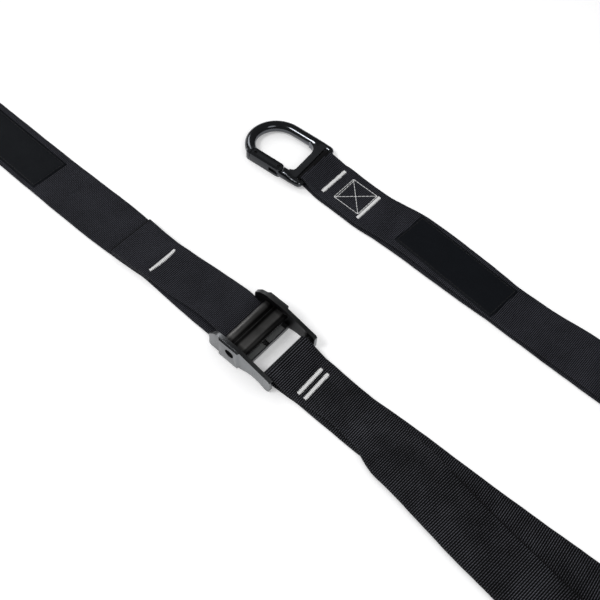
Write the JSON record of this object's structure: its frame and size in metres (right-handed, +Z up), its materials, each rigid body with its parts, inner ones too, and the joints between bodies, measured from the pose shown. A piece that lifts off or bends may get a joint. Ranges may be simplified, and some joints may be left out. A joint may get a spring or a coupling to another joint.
{
  "type": "suspension trainer",
  "caption": "Single-anchor suspension trainer: carabiner on a sewn neck of webbing, two adjustable legs with cam buckles, and a foam grip handle on each.",
  "frame": {"origin": "centre of the bounding box's underside, on the floor the trainer lies on", "axes": "+X along the straps from the carabiner to the handles, +Y across them, +Z up"},
  "size_m": [1.7504, 0.6184, 0.0396],
  "materials": {
    "gloss_black": "gloss black coat",
    "steel": "plain steel",
    "webbing": "woven black webbing, cross ribs",
    "thread": "white thread",
    "label": "smooth dark woven patch, bare",
    "gunmetal": "satin dark grey cast metal",
    "foam": "closed-cell foam",
    "tube": "matte grey",
    "cap": "matte black",
    "keeper": "black elastic"
  },
  "bodies": {
    "straps": {"webbing_neck": "webbing", "neck_bar_tack": "thread", "neck_bar_tack_end": "thread", "neck_box_stitch": "thread", "neck_label": "label", "webbing_leg_a_sweep": "webbing", "webbing_leg_a_end": "webbing", "webbing_leg_b_hank": "webbing", "webbing_leg_b_end": "webbing", "keeper_band": "keeper", "leg_label_a": "label", "tail_bar_tack_a": "thread", "buckle_frame_a": "gunmetal", "cam_axle_a": "steel", "lever_spring_a": "steel", "leg_label_b": "label", "tail_bar_tack_b": "thread", "buckle_frame_b": "gunmetal", "cam_axle_b": "steel", "lever_spring_b": "steel"},
    "carabiner": {"carabiner_body": "gloss_black", "gate_hinge_pin": "steel"},
    "gate": {"gate": "gloss_black", "gate_catch_pin": "steel", "gate_spring": "steel"},
    "cam_lever_a": {"cam_lever_a": "gunmetal"},
    "handle_strap_a": {"handle_webbing_a": "webbing", "handle_bar_tack_1_a": "thread", "handle_bar_tack_2_a": "thread", "grip_loop_tack_near_a": "thread", "grip_loop_tack_far_a": "thread"},
    "grip_a": {"foam_grip_a": "foam", "grip_tube_a": "tube", "end_cap_near_a": "cap", "end_cap_far_a": "cap"},
    "cam_lever_b": {"cam_lever_b": "gunmetal"},
    "handle_strap_b": {"handle_webbing_b": "webbing", "handle_bar_tack_1_b": "thread", "handle_bar_tack_2_b": "thread", "grip_loop_tack_near_b": "thread", "grip_loop_tack_far_b": "thread"},
    "grip_b": {"foam_grip_b": "foam", "grip_tube_b": "tube", "end_cap_near_b": "cap", "end_cap_far_b": "cap"}
  },
  "joints": [
    {"name": "carabiner_swing", "type": "hinge", "parent": "straps", "child": "carabiner", "pos_m": [-0.52072, -0.0633, 0.004], "axis": [-0.0872, 0.9962, 0], "range_deg": [-85, 85]},
    {"name": "gate_swing", "type": "hinge", "parent": "carabiner", "child": "gate", "pos_m": [-0.53875, -0.08325, 0.00405], "axis": [0, 0, -1], "range_deg": [0, 28], "stiffness_Nm_per_rad": 0.06, "springref_deg": -20.05},
    {"name": "cam_lever_a_press", "type": "hinge", "parent": "straps", "child": "cam_lever_a", "pos_m": [-0.45942, -0.1933, 0.0112], "axis": [0, 1, 0], "range_deg": [0, 30], "stiffness_Nm_per_rad": 0.25, "springref_deg": -20.05},
    {"name": "handle_a_swing", "type": "hinge", "parent": "straps", "child": "handle_strap_a", "pos_m": [-0.43241, -0.1933, 0.0058], "axis": [0, -1, 0], "range_deg": [-60, 95]},
    {"name": "grip_a_spin", "type": "hinge", "parent": "handle_strap_a", "child": "grip_a", "pos_m": [0.10558, -0.2023, 0.0166], "axis": [0, 1, 0], "continuous": true},
    {"name": "cam_lever_b_press", "type": "hinge", "parent": "straps", "child": "cam_lever_b", "pos_m": [0.29371, -0.0613, 0.0112], "axis": [0, 1, 0], "range_deg": [0, 30], "stiffness_Nm_per_rad": 0.25, "springref_deg": -20.05},
    {"name": "handle_b_swing", "type": "hinge", "parent": "straps", "child": "handle_strap_b", "pos_m": [0.32071, -0.0613, 0.0058], "axis": [0, -1, 0], "range_deg": [-60, 95]},
    {"name": "grip_b_spin", "type": "hinge", "parent": "handle_strap_b", "child": "grip_b", "pos_m": [0.85871, -0.0703, 0.0166], "axis": [0, 1, 0], "continuous": true}
  ]
}
